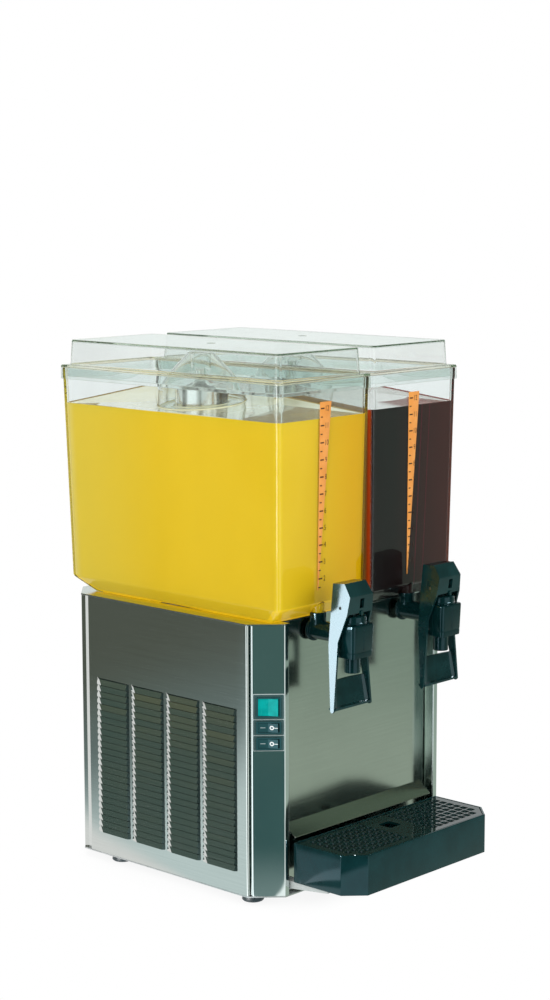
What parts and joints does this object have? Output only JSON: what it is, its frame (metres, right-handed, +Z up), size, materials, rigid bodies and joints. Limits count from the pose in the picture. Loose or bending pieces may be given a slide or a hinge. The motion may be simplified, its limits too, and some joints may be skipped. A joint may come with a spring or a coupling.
{
  "type": "juice dispenser",
  "caption": "Refrigerated countertop juice dispenser: clear square bowls with lids on a louvred steel cabinet, push-lever taps above a black drip tray.",
  "frame": {"origin": "on the table under the middle of the bounding box, between the two bowls", "axes": "+Z up, the taps and drip tray face -Y, +X to the machine's left seen from behind, so to the right for a person facing the taps"},
  "size_m": [0.365, 0.4864, 0.6858],
  "materials": {
    "zinc_pan": "zinc-coated sheet",
    "rubber": "matt moulded rubber",
    "deck_steel": "brushed stainless sheet",
    "panel_steel": "vertically brushed stainless sheet",
    "polished_steel": "bright polished stainless sheet",
    "screw_steel": "plated screw heads",
    "bracket_grey": "grey powder coat",
    "gland_plastic": "black moulded",
    "compressor_paint": "black enamel",
    "fin_aluminium": "plain fins",
    "motor_steel": "grey enamel",
    "fan_plastic": "black moulded",
    "copper": "drawn copper",
    "switch_plate": "dark anodised",
    "switch_black": "gloss black moulded",
    "switch_green": "translucent green moulded",
    "finger_steel": "bright drawn stainless",
    "seal_rubber": "soft grey silicone",
    "magnet": "dark sintered magnet on a steel shaft",
    "clear_plastic": "clear moulded polycarbonate",
    "scale_film": "printed orange film",
    "tap_black": "gloss black moulded",
    "stem_plastic": "black acetal",
    "spring_steel": "spring wire",
    "brass": "turned brass",
    "tray_black": "gloss black moulded",
    "grid_black": "satin black moulded"
  },
  "bodies": {
    "cabinet": {"base_pan": "zinc_pan", "rubber_feet": "rubber", "top_deck": "deck_steel", "front_panel": "panel_steel", "splash_plate": "polished_steel", "tray_brackets": "bracket_grey", "left_side_panel": "panel_steel", "right_side_panel": "panel_steel", "rear_panel": "panel_steel", "front_left_column": "polished_steel", "front_right_column": "polished_steel", "panel_screws": "screw_steel", "cord_gland": "gland_plastic", "compressor": "compressor_paint", "compressor_grommets": "rubber", "condenser": "fin_aluminium", "fan_shroud": "compressor_paint", "fan_motor": "motor_steel", "filter_drier": "copper", "refrigerant_lines": "copper", "thermostat": "gland_plastic", "switch_plate": "switch_plate", "switch_housings": "switch_black", "left_evaporator": "finger_steel", "right_evaporator": "finger_steel", "left_bowl_seal": "seal_rubber", "right_bowl_seal": "seal_rubber", "left_drive_motor": "motor_steel", "right_drive_motor": "motor_steel"},
    "fan": {"fan_blade": "fan_plastic"},
    "main_switch": {"main_rocker": "switch_green"},
    "left_switch": {"left_rocker": "switch_black"},
    "right_switch": {"right_rocker": "switch_black"},
    "left_bowl": {"left_bowl": "clear_plastic", "left_level_scale": "scale_film", "left_tap_body": "tap_black", "left_tap_cap": "tap_black", "left_tap_spring": "spring_steel"},
    "left_lid": {"left_lid": "clear_plastic"},
    "left_valve": {"left_tap_stem": "stem_plastic", "left_tap_seal": "seal_rubber", "left_lever_pin": "brass"},
    "left_lever": {"left_tap_lever": "tap_black"},
    "left_rotor": {"left_magnet_rotor": "magnet"},
    "left_stirrer": {"left_stirrer": "clear_plastic"},
    "right_bowl": {"right_bowl": "clear_plastic", "right_level_scale": "scale_film", "right_tap_body": "tap_black", "right_tap_cap": "tap_black", "right_tap_spring": "spring_steel"},
    "right_lid": {"right_lid": "clear_plastic"},
    "right_valve": {"right_tap_stem": "stem_plastic", "right_tap_seal": "seal_rubber", "right_lever_pin": "brass"},
    "right_lever": {"right_tap_lever": "tap_black"},
    "right_rotor": {"right_magnet_rotor": "magnet"},
    "right_stirrer": {"right_stirrer": "clear_plastic"},
    "drip_tray": {"drip_tray": "tray_black"},
    "drip_grid": {"drip_grid": "grid_black"}
  },
  "joints": [
    {"name": "fan_spin", "type": "hinge", "parent": "cabinet", "child": "fan", "pos_m": [0.091, 0.0435, 0.145], "axis": [1, 0, 0], "continuous": true},
    {"name": "main_rocker_tilt", "type": "hinge", "parent": "cabinet", "child": "main_switch", "pos_m": [-0.16203, -0.12084, 0.2526], "axis": [0, 0, 1], "range_deg": [0, 18]},
    {"name": "left_rocker_tilt", "type": "hinge", "parent": "cabinet", "child": "left_switch", "pos_m": [-0.16203, -0.12084, 0.2271], "axis": [0, 0, 1], "range_deg": [0, 18]},
    {"name": "right_rocker_tilt", "type": "hinge", "parent": "cabinet", "child": "right_switch", "pos_m": [-0.16203, -0.12084, 0.207], "axis": [0, 0, 1], "range_deg": [0, 18]},
    {"name": "left_bowl_lift", "type": "slide", "parent": "cabinet", "child": "left_bowl", "axis": [0, 0, 1], "range_m": [0, 0.33]},
    {"name": "left_lid_lift", "type": "slide", "parent": "left_bowl", "child": "left_lid", "axis": [0, 0, 1], "range_m": [0, 0.06]},
    {"name": "left_valve_lift", "type": "slide", "parent": "left_bowl", "child": "left_valve", "axis": [0, 0, 1], "range_m": [0, 0.0035], "deforming": ["left_tap_spring"]},
    {"name": "left_lever_push", "type": "hinge", "parent": "left_valve", "child": "left_lever", "pos_m": [-0.0866, -0.191, 0.377], "axis": [1, 0, 0], "range_deg": [0, 15], "stiffness_Nm_per_rad": 0.5, "springref_deg": -8.59},
    {"name": "left_rotor_spin", "type": "hinge", "parent": "cabinet", "child": "left_rotor", "pos_m": [-0.0866, 0.0655, 0.45], "axis": [0, 0, 1], "continuous": true},
    {"name": "left_stirrer_spin", "type": "hinge", "parent": "cabinet", "child": "left_stirrer", "pos_m": [-0.0866, 0.0655, 0.65], "axis": [0, 0, 1], "continuous": true},
    {"name": "right_bowl_lift", "type": "slide", "parent": "cabinet", "child": "right_bowl", "axis": [0, 0, 1], "range_m": [0, 0.33]},
    {"name": "right_lid_lift", "type": "slide", "parent": "right_bowl", "child": "right_lid", "axis": [0, 0, 1], "range_m": [0, 0.06]},
    {"name": "right_valve_lift", "type": "slide", "parent": "right_bowl", "child": "right_valve", "axis": [0, 0, 1], "range_m": [0, 0.0035], "deforming": ["right_tap_spring"]},
    {"name": "right_lever_push", "type": "hinge", "parent": "right_valve", "child": "right_lever", "pos_m": [0.0866, -0.191, 0.377], "axis": [1, 0, 0], "range_deg": [0, 15], "stiffness_Nm_per_rad": 0.5, "springref_deg": -8.59},
    {"name": "right_rotor_spin", "type": "hinge", "parent": "cabinet", "child": "right_rotor", "pos_m": [0.0866, 0.0655, 0.45], "axis": [0, 0, 1], "continuous": true},
    {"name": "right_stirrer_spin", "type": "hinge", "parent": "cabinet", "child": "right_stirrer", "pos_m": [0.0866, 0.0655, 0.65], "axis": [0, 0, 1], "continuous": true},
    {"name": "tray_slide", "type": "slide", "parent": "cabinet", "child": "drip_tray", "axis": [0, -1, 0], "range_m": [0, 0.1]},
    {"name": "grid_lift", "type": "slide", "parent": "drip_tray", "child": "drip_grid", "axis": [0, 0, 1], "range_m": [0, 0.04]}
  ],
  "couplings": [
    {"joint": "left_valve_lift", "follows": "left_lever_push", "m_per_rad": 0.012},
    {"joint": "left_stirrer_spin", "follows": "left_rotor_spin", "ratio": 1},
    {"joint": "right_valve_lift", "follows": "right_lever_push", "m_per_rad": 0.012},
    {"joint": "right_stirrer_spin", "follows": "right_rotor_spin", "ratio": 1}
  ]
}
